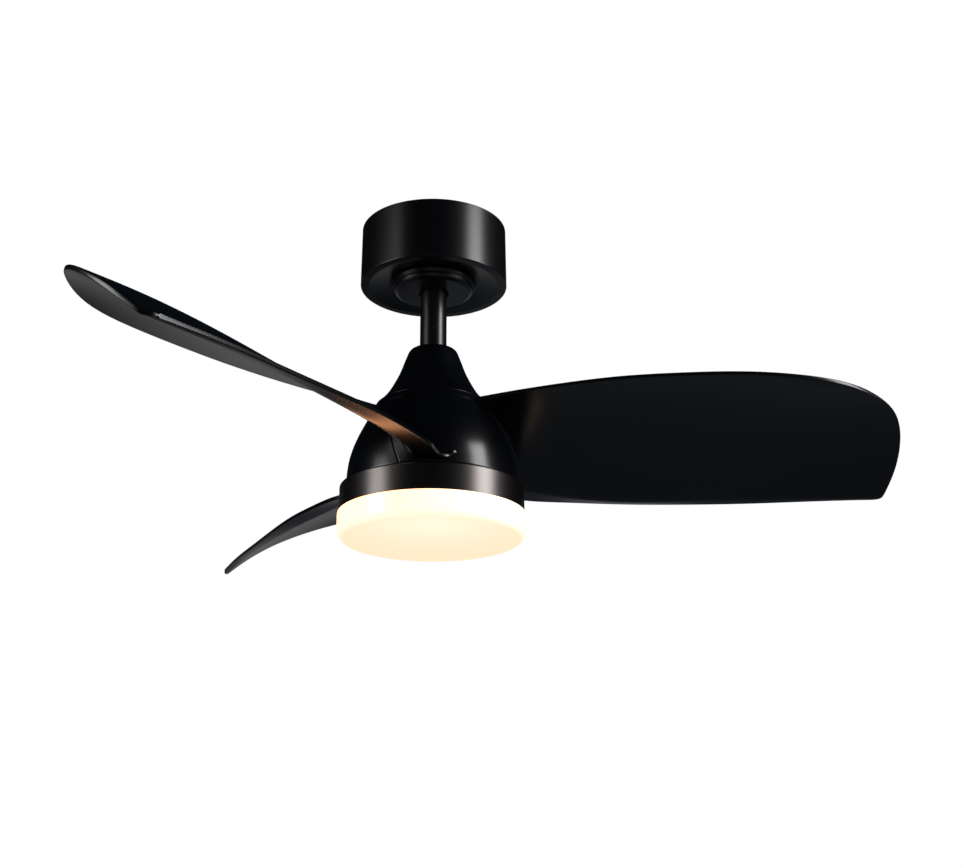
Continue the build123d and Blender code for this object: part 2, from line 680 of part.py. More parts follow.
# One moulding: the blade, its third of the dome and the screw posts inside. The joint between two
# mouldings drops straight down below the next blade and runs along that blade's underside.
SEAM_CUT = 0.12  # degrees, half of the joint's gap
BLADE_PITCH = 360.0 / BLADES
SEAM_BESIDE = BLADE_PITCH + ROOT_ANGLE
next_under = under_space.part.moved(Location((0, 0, -GAP))).rotate(Axis.Z, BLADE_PITCH)
with BuildPart() as blade:
    add(blade_loft.part)
    add(dome_wedge(ROOT_INSIDE_ANGLE, SEAM_ANGLE + SEAM_CUT) - under_space.part)
    add(dome_wedge(SEAM_ANGLE + SEAM_CUT, SEAM_BESIDE))
    add(dome_wedge(SEAM_BESIDE, BLADE_PITCH + SEAM_ANGLE - SEAM_CUT) & next_under)
    add(dome_room.part, mode=Mode.SUBTRACT)
    for angle in (20, 60, 100):
        with Locations(Location((0, 0, FLANGE_Z), (0, 0, angle))):
            with Locations((STUD_R, 0, 0)):
                Cylinder(4.2, 12.5, align=BOTTOM)
                Box(79.8 - STUD_R, 2.6, 12.5, align=(Align.MIN, Align.CENTER, Align.MIN))
                Cylinder(1.65, 11, align=BOTTOM, mode=Mode.SUBTRACT)

for number in range(BLADES):
    moulding = blade.part.rotate(Axis.Z, BLADE_AZIMUTH + BLADE_PITCH * number)
    moulding.label = "blade_" + str(number + 1)
    export_step(moulding, "parts/" + moulding.label + ".step")

with BuildPart() as blade_screws:
    pan_screws(ring_places(STUD_R, 3 * BLADES, BLADE_AZIMUTH + 20), FLANGE_BOTTOM_Z, 13.0, 1.6, 3.6, 2.4)
blade_screws.part.label = "blade_screws"
export_step(blade_screws.part, "parts/blade_screws.step")

# ------------------------------------------------------------------ light

# Metal ring round the light, with a flange at the top and three pegs inside for the diffuser. Each
# peg has a stop at one end.
PEGS = 3
with BuildPart() as light_ring:
    revolve(
        outline(
            (80.0, RING_TOP_Z),
            (RING_R, RING_TOP_Z),
            (RING_R, RING_BOTTOM_Z),
            (RING_R - RING_SHEET, RING_BOTTOM_Z),
            (RING_R - RING_SHEET, RING_TOP_Z - RING_SHEET),
            (80.0, RING_TOP_Z - RING_SHEET),
        ),
        axis=Axis.Z,
    )
    fillet(light_ring.edges().filter_by(GeomType.CIRCLE).group_by(Axis.Z)[-1].sort_by(SortBy.RADIUS)[-1], 1.2)
    peg = tube(RING_R - 1, 86.0, PEG_Z, PEG_Z - 2)
    stop = tube(RING_R - 1, 86.0, PEG_Z + 3, PEG_Z - 2)
    for number in range(PEGS):
        turn = 360 / PEGS * number
        add(revolve(peg, axis=Axis.Z, revolution_arc=10, mode=Mode.PRIVATE).rotate(Axis.Z, turn - 5))
        add(revolve(stop, axis=Axis.Z, revolution_arc=1.6, mode=Mode.PRIVATE).rotate(Axis.Z, turn - 6.6))
    with Locations(*[(x, y, RING_TOP_Z) for x, y in ring_places(83.5, 3, 60)]):
        Cylinder(1.65, 8, mode=Mode.SUBTRACT)
light_ring.part.label = "light_ring"
export_step(light_ring.part, "parts/light_ring.step")

# Steel pan that hangs the light on the shaft.
PAN_T = 1.5
PAN_BOTTOM_Z = PAN_Z - PAN_T
STANDOFF_R = 62.0
with BuildPart() as light_pan:
    revolve(tube(87.2, SHAFT_R + FIT, PAN_Z, PAN_BOTTOM_Z), axis=Axis.Z)
    with Locations(*[(x, y, PAN_Z) for x, y in ring_places(83.5, 3, 60)]):
        Cylinder(2.0, 8, mode=Mode.SUBTRACT)
light_pan.part.label = "light_pan"
export_step(light_pan.part, "parts/light_pan.step")

with BuildPart() as shaft_nuts:
    for height in (PAN_Z, PAN_BOTTOM_Z - 4.5):
        with BuildSketch(Plane.XY.offset(height)):
            RegularPolygon(14, 6)
            Circle(SHAFT_R + FIT, mode=Mode.SUBTRACT)
        extrude(amount=4.5)
shaft_nuts.part.label = "shaft_nuts"
export_step(shaft_nuts.part, "parts/shaft_nuts.step")

with BuildPart() as pan_screws_group:
    pan_screws(ring_places(83.5, 3, 60), PAN_BOTTOM_Z, 2.8, 1.6, 3.2, 2.0)
pan_screws_group.part.label = "pan_screws"
export_step(pan_screws_group.part, "parts/pan_screws.step")

# Three hexagonal standoffs between the pan and the light board.
with BuildPart() as led_standoffs:
    with BuildSketch(Plane.XY.offset(PAN_BOTTOM_Z)):
        with Locations(*ring_places(STANDOFF_R, 3, 90)):
            RegularPolygon(3.4, 6)
    extrude(amount=BOARD_Z - PAN_BOTTOM_Z)
    with Locations(*[(x, y, BOARD_Z) for x, y in ring_places(STANDOFF_R, 3, 90)]):
        Cylinder(1.3, 12, mode=Mode.SUBTRACT)
led_standoffs.part.label = "led_standoffs"
export_step(led_standoffs.part, "parts/led_standoffs.step")

# Light board: an aluminium disc with rings of small light-emitting chips on its underside.
BOARD_T = 1.6
CHIP_RINGS = ((28.0, 12), (46.0, 20), (70.0, 30))
with BuildPart() as led_board:
    revolve(tube(76.0, 12.0, BOARD_Z, BOARD_Z - BOARD_T), axis=Axis.Z)
    with Locations(*[(x, y, BOARD_Z) for x, y in ring_places(STANDOFF_R, 3, 90)]):
        Cylinder(1.6, 8, mode=Mode.SUBTRACT)
led_board.part.label = "led_board"
export_step(led_board.part, "parts/led_board.step")

with BuildPart() as led_screws:
    pan_screws(ring_places(STANDOFF_R, 3, 90), BOARD_Z - BOARD_T, 6.5, 1.25, 2.8, 1.7)
led_screws.part.label = "led_screws"
export_step(led_screws.part, "parts/led_screws.step")

with BuildPart() as led_chips:
    for radius, count in CHIP_RINGS:
        with PolarLocations(radius, count):
            with Locations((0, 0, BOARD_Z - BOARD_T)):
                Box(2.8, 3.5, 0.9, align=TOP)
led_chips.part.label = "led_chips"
export_step(led_chips.part, "parts/led_chips.step")

with BuildPart() as led_driver:
    with Locations((0, -38, PAN_BOTTOM_Z)):
        Box(66, 30, 14, align=TOP)
    fillet(led_driver.edges().filter_by(Axis.Z), 2.5)
led_driver.part.label = "led_driver"
export_step(led_driver.part, "parts/led_driver.step")

# Leads for the motor and the light: down the rod beside its pins, then into the hollow shaft.
LEAD_R = 0.8
LEAD_TOP_Z = -23.0
LEAD_BEND_TOP_Z = -157.0
LEAD_BEND_BOTTOM_Z = -173.0
with BuildPart() as rod_leads:
    for rod_x, shaft_x, shaft_y in ((-3.6, -1.2, 1.2), (-1.2, -1.2, -1.2), (1.2, 1.2, -1.2), (3.6, 1.2, 1.2)):
        with BuildLine() as route:
            FilletPolyline(
                (rod_x, 6.2, LEAD_TOP_Z),
                (rod_x, 6.2, LEAD_BEND_TOP_Z),
                (shaft_x, shaft_y, LEAD_BEND_BOTTOM_Z),
                (shaft_x, shaft_y, SHAFT_BOTTOM_Z - 2),
                radius=30,
            )
        with BuildSketch(Plane.XY.offset(LEAD_TOP_Z)):
            with Locations((rod_x, 6.2)):
                Circle(LEAD_R)
        sweep(path=route.wires()[0])
rod_leads.part.label = "rod_leads"
export_step(rod_leads.part, "parts/rod_leads.step")

# Opal diffuser: a shallow drum with a rounded lower edge, a narrower neck inside the ring and
# three lugs that ride over the ring's pegs.
NECK_R = 85.6
NECK_TOP_Z = -293.0
SHOULDER_Z = RING_BOTTOM_Z - GAP
DIFFUSER_EDGE_R = 8.0
with BuildPart() as diffuser:
    with BuildSketch(Plane.XZ):
        with BuildLine():
            Polyline(
                (0, DIFFUSER_BOTTOM_Z),
                (DIFFUSER_R, DIFFUSER_BOTTOM_Z),
                (DIFFUSER_R, SHOULDER_Z),
                (NECK_R, SHOULDER_Z),
                (NECK_R, NECK_TOP_Z),
                (NECK_R - 1.8, NECK_TOP_Z),
                (NECK_R - 1.8, SHOULDER_Z - DIFFUSER_WALL),
                (DIFFUSER_R - DIFFUSER_WALL, SHOULDER_Z - DIFFUSER_WALL),
                (DIFFUSER_R - DIFFUSER_WALL, DIFFUSER_BOTTOM_Z + DIFFUSER_WALL),
                (0, DIFFUSER_BOTTOM_Z + DIFFUSER_WALL),
                close=True,
            )
        make_face()
        for depth in (0, DIFFUSER_WALL):
            corner = (DIFFUSER_R - depth, DIFFUSER_BOTTOM_Z + depth, 0)
            fillet(vertices().sort_by_distance(corner)[0], DIFFUSER_EDGE_R - depth)
    revolve(axis=Axis.Z)
    lug = tube(87.3, NECK_R - 0.5, PEG_Z + 2.5, PEG_Z + GAP)
    for number in range(PEGS):
        turn = 360 / PEGS * number
        add(revolve(lug, axis=Axis.Z, revolution_arc=10, mode=Mode.PRIVATE).rotate(Axis.Z, turn - 4.6))
diffuser.part.label = "diffuser"
export_step(diffuser.part, "parts/diffuser.step")
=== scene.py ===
import bmesh
import bpy
import numpy as np
from mathutils import Matrix


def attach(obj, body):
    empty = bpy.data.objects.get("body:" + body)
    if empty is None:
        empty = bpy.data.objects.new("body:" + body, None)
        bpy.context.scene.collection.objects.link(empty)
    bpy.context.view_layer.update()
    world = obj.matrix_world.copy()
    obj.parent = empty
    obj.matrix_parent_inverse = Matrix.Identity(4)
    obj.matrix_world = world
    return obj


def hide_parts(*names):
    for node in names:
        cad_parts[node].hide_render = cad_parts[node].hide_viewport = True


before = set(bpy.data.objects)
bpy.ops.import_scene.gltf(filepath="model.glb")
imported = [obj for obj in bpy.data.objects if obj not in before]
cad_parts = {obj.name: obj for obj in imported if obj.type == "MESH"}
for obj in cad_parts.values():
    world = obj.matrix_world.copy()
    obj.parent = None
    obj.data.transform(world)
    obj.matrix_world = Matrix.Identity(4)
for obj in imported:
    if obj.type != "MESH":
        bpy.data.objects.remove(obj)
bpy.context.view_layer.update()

# ---------------------------------------------------------------- camera and studio
# The camera stands 1.28 m in front of the fan and 0.66 m below the ceiling, and looks up at it. Upright
# softboxes on both sides draw the long highlights on the black finishes; the floor is plain and pale.
camera = bpy.data.objects.new("camera", bpy.data.cameras.new("camera"))
camera.data.sensor_fit = "HORIZONTAL"
camera.data.sensor_width = 36.0
camera.data.lens = 51.44
CAMERA_AT = (0.0, -1.2795, -0.6607)
LOOK_UP, LOOK_RIGHT, LEAN = 0.332, 0.038, -0.004  # radians
camera.matrix_world = (
    Matrix.Translation(CAMERA_AT)
    @ Matrix.Rotation(-LOOK_RIGHT, 4, "Z")
    @ Matrix.Rotation(np.pi / 2 + LOOK_UP, 4, "X")
    @ Matrix.Rotation(LEAN, 4, "Z")
)
bpy.context.scene.collection.objects.link(camera)
bpy.context.scene.camera = camera
bpy.context.scene.view_settings.view_transform = "Standard"


class Tone:
    """One output of a finish's nodes. Arithmetic on it adds Math nodes; node() adds any other node."""

    def __init__(self, tree, socket=None):
        self.tree, self.socket = tree, socket

    def node(self, kind, settings=(), sockets=(), out=0):
        """Adds a node, its settings first and then the values or links of its sockets."""
        made = self.tree.nodes.new(kind)
        for name, value in dict(settings).items():
            setattr(made, name, value)
        for name, value in dict(sockets).items():
            if isinstance(value, Tone):
                self.tree.links.new(value.socket, made.inputs[name])
            else:
                made.inputs[name].default_value = value
        return Tone(self.tree, made.outputs[out] if len(made.outputs) else None)

    def sum_of(self, operation, *values):
        """One Math node on the values."""
        return self.node("ShaderNodeMath", {"operation": operation}, enumerate(values))

    def __add__(self, other):
        return self.sum_of("ADD", self, other)

    def __mul__(self, other):
        return self.sum_of("MULTIPLY", self, other)

    def __rsub__(self, other):
        return self.sum_of("SUBTRACT", other, self)

    __radd__, __rmul__ = __add__, __mul__

    def between(self, low, high):
        """0 below low, 1 above high, eased in between."""
        ends = {"Value": self, "From Min": low, "From Max": high}
        return self.node("ShaderNodeMapRange", {"interpolation_type": "SMOOTHSTEP"}, ends)

    def blend(self, first, second):
        """Colour mix: the first colour where this tone is 0, the second where it is 1."""
        return self.node("ShaderNodeMix", {"data_type": "RGBA"}, {0: self, 6: first, 7: second}, out=2)


world = bpy.data.worlds.new("studio")
bpy.context.scene.world = world
world.use_nodes = True
world.node_tree.nodes.clear()
studio = Tone(world.node_tree)
seen = studio.node("ShaderNodeLightPath")
facing = studio.node("ShaderNodeTexCoord")
# what the black finishes mirror: dark overhead, a grey glow from below and a pale band behind the fan;
# the camera itself sees plain white
upwards = studio.node("ShaderNodeSeparateXYZ", sockets={0: facing}, out=2)
behind = studio.node("ShaderNodeSeparateXYZ", sockets={0: facing}, out=1)
below = upwards.between(0.1, -0.75).blend((0.004, 0.006, 0.009, 1), (0.1, 0.116, 0.14, 1))
backdrop = behind.between(0.6, 0.95) * upwards.between(0.32, 0.12) * upwards.between(-0.4, -0.15)
dim = studio.node("ShaderNodeBackground", sockets={"Color": backdrop.blend(below, (0.24, 0.24, 0.245, 1))})
white = studio.node("ShaderNodeBackground", sockets={"Color": (1, 1, 1, 1), "Strength": 1.0})
sky = studio.node("ShaderNodeMixShader", sockets={0: seen, 1: dim, 2: white})
studio.node("ShaderNodeOutputWorld", sockets={0: sky})


MOTOR_AT = -0.2  # height, in metres


def softbox(name, azimuth, height, width, tall, distance, power, colour=(1.0, 1.0, 1.0)):
    """Flat rectangular studio light facing the motor; azimuth is in degrees to the right of the camera."""
    turn = np.radians(azimuth - 90)
    stand = (distance * np.cos(turn), distance * np.sin(turn), height)
    lamp = bpy.data.lights.new(name, "AREA")
    lamp.shape = "RECTANGLE"
    lamp.size, lamp.size_y = width, tall
    lamp.energy = power
    lamp.color = colour
    light = bpy.data.objects.new(name, lamp)
    lean = np.arctan2(height - MOTOR_AT, distance)
    light.matrix_world = (
        Matrix.Translation(stand)
        @ Matrix.Rotation(turn + np.pi / 2, 4, "Z")
        @ Matrix.Rotation(np.pi / 2 - lean, 4, "X")
    )
    bpy.context.scene.collection.objects.link(light)


softbox("right_softbox", 66, 0.4, 0.85, 1.5, 2.2, 42.0, (1.0, 0.985, 1.0))
softbox("left_softbox", -69, 0.05, 0.85, 1.0, 2.2, 17.0)
softbox("left_softbox_top", -60, 0.85, 0.6, 0.6, 2.2, 1.4)
softbox("front_fill", 0, -0.85, 1.2, 0.5, 2.2, 0.35)

FLOOR_AT, FLOOR_HALF = -2.4, 6
floor_corners = [(FLOOR_HALF * x, FLOOR_HALF * y, FLOOR_AT) for x, y in ((-1, -1), (1, -1), (1, 1), (-1, 1))]
floor_mesh = bpy.data.meshes.new("floor")
floor_mesh.from_pydata(floor_corners, [], [(0, 1, 2, 3)])
floor = bpy.data.objects.new("floor", floor_mesh)
bpy.context.scene.collection.objects.link(floor)
floor.visible_glossy = False
floor.visible_diffuse = False
floor_finish = bpy.data.materials.new("pale_floor")
floor_finish.use_nodes = True
floor_shader = floor_finish.node_tree.nodes["Principled BSDF"]
floor_shader.inputs["Base Color"].default_value = (0.9, 0.9, 0.9, 1)
floor_shader.inputs["Roughness"].default_value = 0.9
floor_mesh.materials.append(floor_finish)

# ---------------------------------------------------------------- canopy
# Spun steel cup that hides the wiring at the ceiling, powder-coated satin black. Its floor dips up to
# a flat middle with a short collar round the rod hole. Sizes are in millimetres from the fan's axis and
# the ceiling.


def finish(name, **fixed):
    """A new material with the given fixed values on its shader; gives the material and its first tone."""
    material = bpy.data.materials.new(name)
    material.use_nodes = True
    shader = material.node_tree.nodes["Principled BSDF"]
    for socket, value in fixed.items():
        shader.inputs[socket.replace("_", " ")].default_value = value
    return material, Tone(material.node_tree)


def feed(material, **varying):
    """Links tones to the shader's sockets."""
    shader = material.node_tree.nodes["Principled BSDF"]
    for socket, tone in varying.items():
        material.node_tree.links.new(tone.socket, shader.inputs[socket.replace("_", " ")])


def grain(tone, scale, detail=3.0, stretch=(1.0, 1.0, 1.0)):
    """Soft random field from 0 to 1 in object space; scale is in grains per metre."""
    spot = tone.node("ShaderNodeTexCoord", out=3)
    spot = tone.node("ShaderNodeVectorMath", {"operation": "MULTIPLY"}, {0: spot, 1: stretch})
    return tone.node("ShaderNodeTexNoise", sockets={"Vector": spot, "Scale": scale, "Detail": detail})


def dimpled(tone, height, depth):
    """Bump from a height field; depth is in metres."""
    return tone.node("ShaderNodeBump", sockets={"Height": height, "Strength": 1.0, "Distance": depth})


def satin_black(name, colour, roughness, peel, dusty=0.5):
    """Powder coat on steel: fine orange peel, broad changes of gloss and a trace of dust in the tone."""
    material, tone = finish(name, IOR=1.5, Specular_IOR_Level=0.5)
    broad = grain(tone, 14.0)
    fine = grain(tone, 1900.0, 2.0)
    dust = grain(tone, 420.0, 6.0).between(0.56, 0.72)
    lighter = tuple(2.2 * c for c in colour)
    feed(
        material,
        Base_Color=(dust * dusty + broad * 0.2).blend((*colour, 1), (*lighter, 1)),
        Roughness=roughness - 0.03 + 0.06 * broad + 0.05 * fine,
        Normal=dimpled(tone, fine, peel),
    )
    return material


def rounded(corners, radii, steps=7):
    """Closed run of (radius, height) points. Each corner becomes an arc that is tangent to both its sides:
    from the arc's start the point moves by the radius times the turned heading. Two more points just
    outside each arc keep the shading of the straight sides flat."""
    corner = np.asarray(corners, float)
    arc = np.asarray(radii, float)[:, None]
    side = np.roll(corner, -1, 0) - corner
    side /= np.linalg.norm(side, axis=1, keepdims=True)
    before = np.roll(side, 1, 0)
    turn = np.arctan2(
        before[:, :1] * side[:, 1:] - before[:, 1:] * side[:, :1], (before * side).sum(1, keepdims=True)
    )
    reach = arc * np.tan(np.abs(turn) / 2)
    start = corner - before * reach
    heading = np.arctan2(before[:, 1:], before[:, :1])
    angle = heading + turn * np.linspace(0, 1, steps)
    signed = arc * np.sign(turn)
    along = np.stack(
        [
            start[:, :1] + signed * (np.sin(angle) - np.sin(heading)),
            start[:, 1:] - signed * (np.cos(angle) - np.cos(heading)),
        ],
        -1,
    )
    outside = 0.4 * arc[:, None]
    lead_in, lead_out = along[:, :1] - before[:, None] * outside, along[:, -1:] + side[:, None] * outside
    run = np.concatenate([lead_in, along, lead_out], 1).reshape(-1, 2)
    apart = np.linalg.norm(run - np.roll(run, 1, 0), axis=1) > 1e-4
    return run[apart]


def sheet_of(name, grid, wrap_rows=False, wrap_columns=False):
    """Mesh of a grid of points in millimetres: every four neighbours make a face. Points that coincide,
    as at a pole or a zipped end, are merged, and all faces are then turned outwards."""
    rows, columns = grid.shape[:2]
    index = np.arange(rows * columns).reshape(rows, columns)
    if wrap_rows:
        index = np.concatenate([index, index[:1]], 0)
    if wrap_columns:
        index = np.concatenate([index, index[:, :1]], 1)
    faces = np.stack([index[:-1, :-1], index[1:, :-1], index[1:, 1:], index[:-1, 1:]], -1).reshape(-1, 4)
    mesh = bpy.data.meshes.new(name)
    millimetre = 0.001
    mesh.from_pydata((grid.reshape(-1, 3) * millimetre).tolist(), [], faces.tolist())
    work = bmesh.new()
    work.from_mesh(mesh)
    bmesh.ops.remove_doubles(work, verts=work.verts, dist=1e-6)
    bmesh.ops.recalc_face_normals(work, faces=work.faces)
    work.to_mesh(mesh)
    work.free()
    mesh.shade_smooth()
    return mesh


def turned(name, run, steps=256):
    """Lathe work: the run of (radius, height) points carried once round the fan's axis."""
    angle = np.linspace(0, 2 * np.pi, steps, endpoint=False)[:, None]
    radius, height = run[None, :, 0], run[None, :, 1]
    grid = np.stack([radius * np.cos(angle), radius * np.sin(angle), height + 0 * angle], -1)
    return sheet_of(name, grid, wrap_rows=True, wrap_columns=True)


def place(name, meshes, material, body, replaced):
    """Makes the finished piece from its mesh, joins further meshes to it, and gives it to its body."""
    work = bmesh.new()
    for mesh in meshes:
        work.from_mesh(mesh)
    for face in work.faces:
        face.smooth = True
    whole = bpy.data.meshes.new(name)
    work.to_mesh(whole)
    work.free()
    whole.materials.append(material)
    piece = bpy.data.objects.new(name, whole)
    bpy.context.scene.collection.objects.link(piece)
    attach(piece, body)
    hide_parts(replaced)


canopy_black = satin_black("canopy_powder_coat", (0.0015, 0.0017, 0.0022), 0.28, 0.00002, 0.3)
canopy_run = rounded(
    [
        (73.5, 0.0),
        (74.2, -62.3),
        (66.0, -62.3),
        (46.0, -57.7),
        (31.2, -57.7),
        (31.2, -61.2),
        (30.0, -61.2),
        (30.0, -56.5),
        (46.0, -56.5),
        (66.0, -61.1),
        (73.0, -61.1),
        (72.3, 0.0),
    ],
    [0.5, 1.0, 6.0, 6.0, 0.6, 0.5, 0.5, 0.8, 6.0, 6.0, 0.8, 0.5],
)
place("canopy_shell", [turned("canopy_shell", canopy_run)], canopy_black, "mount", "canopy")

# ---------------------------------------------------------------- canopy trim
# Turned trim disc that snaps over the collar and hides the screws: an upright rim, a groove, then a
# rounded ridge round a flat face. Same powder coat as the canopy.
trim_run = rounded(
    [
        (41.9, -57.9),
        (43.25, -57.9),
        (43.1, -59.8),
        (41.6, -62.9),
        (40.6, -63.1),
        (40.4, -64.6),
        (39.2, -67.2),
        (36.6, -68.6),
        (35.9, -69.0),
        (15.2, -69.0),
        (15.2, -67.6),
        (35.6, -67.4),
        (38.4, -65.4),
        (39.4, -61.5),
        (41.2, -60.4),
    ],
    [0.3, 0.4, 1.6, 0.6, 0.25, 1.2, 2.2, 0.6, 0.3, 0.7, 0.5, 1.5, 2.0, 0.6, 0.5],
)
place("trim_disc", [turned("trim_disc", trim_run)], canopy_black, "mount", "canopy_trim")

# ---------------------------------------------------------------- ceiling fixings
# Pressed steel bracket screwed to the ceiling box, bright zinc plated, with a green earth screw. The
# other screws, nuts and pins of the fan, the light's pan and the shaft have the same plate.


def plated(name, colour, roughness):
    """Plated or cast metal: the plate's small crystals vary its gloss, and fine scratches run across it."""
    material, tone = finish(name, Metallic=1.0)
    spangle = grain(tone, 160.0)
    scratch = grain(tone, 900.0, 4.0, (1.0, 1.0, 0.06))
    darker = tuple(0.7 * c for c in colour)
    feed(
        material,
        Base_Color=spangle.between(0.35, 0.65).blend((*darker, 1), (*colour, 1)),
        Roughness=roughness + 0.12 * spangle + 0.08 * scratch,
        Normal=dimpled(tone, scratch, 0.00003),
    )
    return material


def moulded(name, colour, roughness, grit=1500.0):
    """Moulded plastic or rubber: spark-eroded grit in the surface and faint flow marks in the tone."""
    material, tone = finish(name)
    flow = grain(tone, 30.0, 4.0)
    fine = grain(tone, grit, 2.0)
    darker = tuple(0.8 * c for c in colour)
    feed(
        material,
        Base_Color=flow.between(0.35, 0.65).blend((*darker, 1), (*colour, 1)),
        Roughness=roughness + 0.1 * fine,
        Normal=dimpled(tone, fine, 0.00004),
    )
    return material


def dress(material, *nodes):
    """Gives CAD pieces that keep their shape a better finish."""
    for name in nodes:
        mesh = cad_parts[name].data
        mesh.materials.clear()
        mesh.materials.append(material)


zinc = plated("zinc_plate", (0.62, 0.62, 0.6), 0.28)
dress(zinc, "hanger_bracket", "canopy_screws", "ball_pin", "ball_set_screw", "coupling_pin", "coupling_clip")
dress(zinc, "coupling_set_screws", "shaft_nuts", "pan_screws", "led_screws", "cap_screws", "blade_screws")
dress(zinc, "led_standoffs", "light_pan", "motor_shaft")
dress(moulded("earth_screw_green", (0.02, 0.22, 0.05), 0.35), "ground_screw")

# ---------------------------------------------------------------- wiring parts and hanger ball
# Remote receiver and lamp driver in grey moulded boxes, a nylon terminal block, and the black moulded
# ball on the rod's end that rests in the bracket on a nylon liner.
dress(moulded("receiver_housing", (0.32, 0.33, 0.34), 0.45), "receiver", "led_driver")
dress(moulded("nylon", (0.7, 0.69, 0.64), 0.5), "terminal_block", "ball_seat_liner")
dress(moulded("ball_moulding", (0.025, 0.025, 0.028), 0.35), "hanger_ball")

# ---------------------------------------------------------------- downrod
# Three quarter inch steel pipe, cut square with its edges broken and powder-coated like the canopy. It
# is pinned in the hanger ball above and in the motor's coupling below.
rod_black = satin_black("rod_powder_coat", (0.0035, 0.0037, 0.0042), 0.26, 0.00002)
rod_run = rounded([(10.45, -26.0), (13.35, -26.0), (13.35, -166.5), (10.45, -166.5)], [0.4] * 4)
place("rod_pipe", [turned("rod_pipe", rod_run, 128)], rod_black, "stem", "downrod")

# ---------------------------------------------------------------- bell cover
# Moulded cover that flares from a rounded shoulder round the rod down to the motor, black and half
# glossy, with a rubber grommet between it and the rod. It sits over the cast coupling on the motor.


def eased(stations, values, places):
    """Natural cubic curve through the values at the stations, read at the places: between two stations
    the straight line plus two cubic bends, whose second slopes agree from stretch to stretch."""
    x, y, q = (np.asarray(part, float) for part in (stations, values, places))
    gap = np.diff(x)
    slopes = np.diff(y) / gap
    matrix = np.diag(np.r_[1, 2 * (gap[:-1] + gap[1:]), 1])
    matrix += np.diag(np.r_[0, gap[1:]], 1) + np.diag(np.r_[gap[:-1], 0], -1)
    bend = np.linalg.solve(matrix, np.r_[0, 6 * np.diff(slopes), 0])
    i = np.clip(np.searchsorted(x, q) - 1, 0, len(gap) - 1)
    a, b = (x[i + 1] - q) / gap[i], (q - x[i]) / gap[i]
    return a * y[i] + b * y[i + 1] + ((a**3 - a) * bend[i] + (b**3 - b) * bend[i + 1]) * gap[i] ** 2 / 6


def smooth_run(points, count):
    """Evenly stepped smooth curve through the points, eased over the chord length between them."""
    points = np.asarray(points, float)
    chord = np.r_[0, np.cumsum(np.linalg.norm(np.diff(points, axis=0), axis=1))]
    steps = np.linspace(0, chord[-1], count)
    return np.stack([eased(chord, column, steps) for column in points.T], -1)


def half_gloss_black(name):
    """Black ABS with a fine spark finish: low, slightly uneven gloss, faint flow marks, a trace of dust."""
    material, tone = finish(name, IOR=1.5, Specular_IOR_Level=0.45)
    flow = grain(tone, 9.0, 4.0)
    fine = grain(tone, 1400.0, 2.0)
    dust = grain(tone, 520.0, 6.0).between(0.58, 0.74)
    feed(
        material,
        Base_Color=(0.6 * dust + 0.25 * flow).blend((0.0012, 0.0016, 0.0024, 1), (0.004, 0.005, 0.0065, 1)),
        Roughness=0.19 + 0.06 * flow + 0.05 * fine,
        Normal=dimpled(tone, fine, 0.000012),
    )
    return material


bell_black = half_gloss_black("bell_moulding")
BELL_WALL = 2.2
bell_outer = smooth_run(
    [
        (18.5, -131.7),
        (23.2, -133.7),
        (25.6, -138.0),
        (29.3, -148.0),
        (33.4, -159.0),
        (38.8, -170.0),
        (45.6, -181.5),
        (54.2, -191.5),
    ],
    90,
)
run_out = np.gradient(bell_outer, axis=0)
run_out /= np.linalg.norm(run_out, axis=1, keepdims=True)
bell_inner = bell_outer + BELL_WALL * np.stack([run_out[:, 1], -run_out[:, 0]], -1)
bell_inner = bell_inner[(bell_inner[:, 1] < -133.9) & (bell_inner[:, 1] > -191.0)]
bell_corners = np.concatenate(
    [
        [(14.2, -131.5), (18.0, -131.5)],
        bell_outer[1:-1],
        [(53.9, -191.5), (51.5, -191.5)],
        bell_inner[::-1],
        [(18.0, -133.7), (14.2, -133.7)],
    ]
)
bell_radii = np.zeros(len(bell_corners))
bell_radii[[0, -1]] = 0.5
bell_run = rounded(bell_corners, bell_radii)
place("bell_shell", [turned("bell_shell", bell_run)], bell_black, "stem", "bell_cover")
dress(moulded("grommet_rubber", (0.012, 0.012, 0.013), 0.6), "bell_grommet")
cast_aluminium = plated("cast_aluminium", (0.55, 0.55, 0.56), 0.42)
dress(cast_aluminium, "motor_coupling", "rotor_upper_housing", "rotor_lower_housing")

# ---------------------------------------------------------------- motor
# Direct-drive motor inside the dome: laminated stator with enamelled copper coils, a steel can with
# magnets, and two ball bearings. The leads come down the rod in soft insulation.
dress(plated("electrical_steel", (0.42, 0.43, 0.45), 0.35), "stator_core", "stator_hub", "rotor_can")
bearing_steel = plated("bearing_steel", (0.7, 0.7, 0.7), 0.15)
for bearing in ("upper_bearing", "lower_bearing"):
    dress(bearing_steel, f"{bearing}_inner_race", f"{bearing}_outer_race", f"{bearing}_balls")
dress(plated("enamelled_copper", (0.72, 0.3, 0.12), 0.3), "stator_windings")
dress(moulded("sintered_magnet", (0.07, 0.07, 0.075), 0.5), "rotor_magnets")
dress(moulded("lead_insulation", (0.45, 0.06, 0.04), 0.45), "rod_leads")

# ---------------------------------------------------------------- dome cap
# Moulded ring screwed on top of the rotor. Its short rim shows between the bell and the dome, and
# carries on the dome's slope.
cap_run = rounded(
    [
        (43.0, -192.5),
        (56.0, -192.5),
        (59.1, -199.2),
        (58.9, -199.5),
        (55.4, -199.5),
        (55.4, -194.9),
        (43.0, -194.9),
    ],
    [0.4, 0.5, 0.1, 0.1, 0.3, 0.5, 0.4],
)
place("cap_rim", [turned("cap_rim", cap_run)], bell_black, "rotor", "dome_cap")

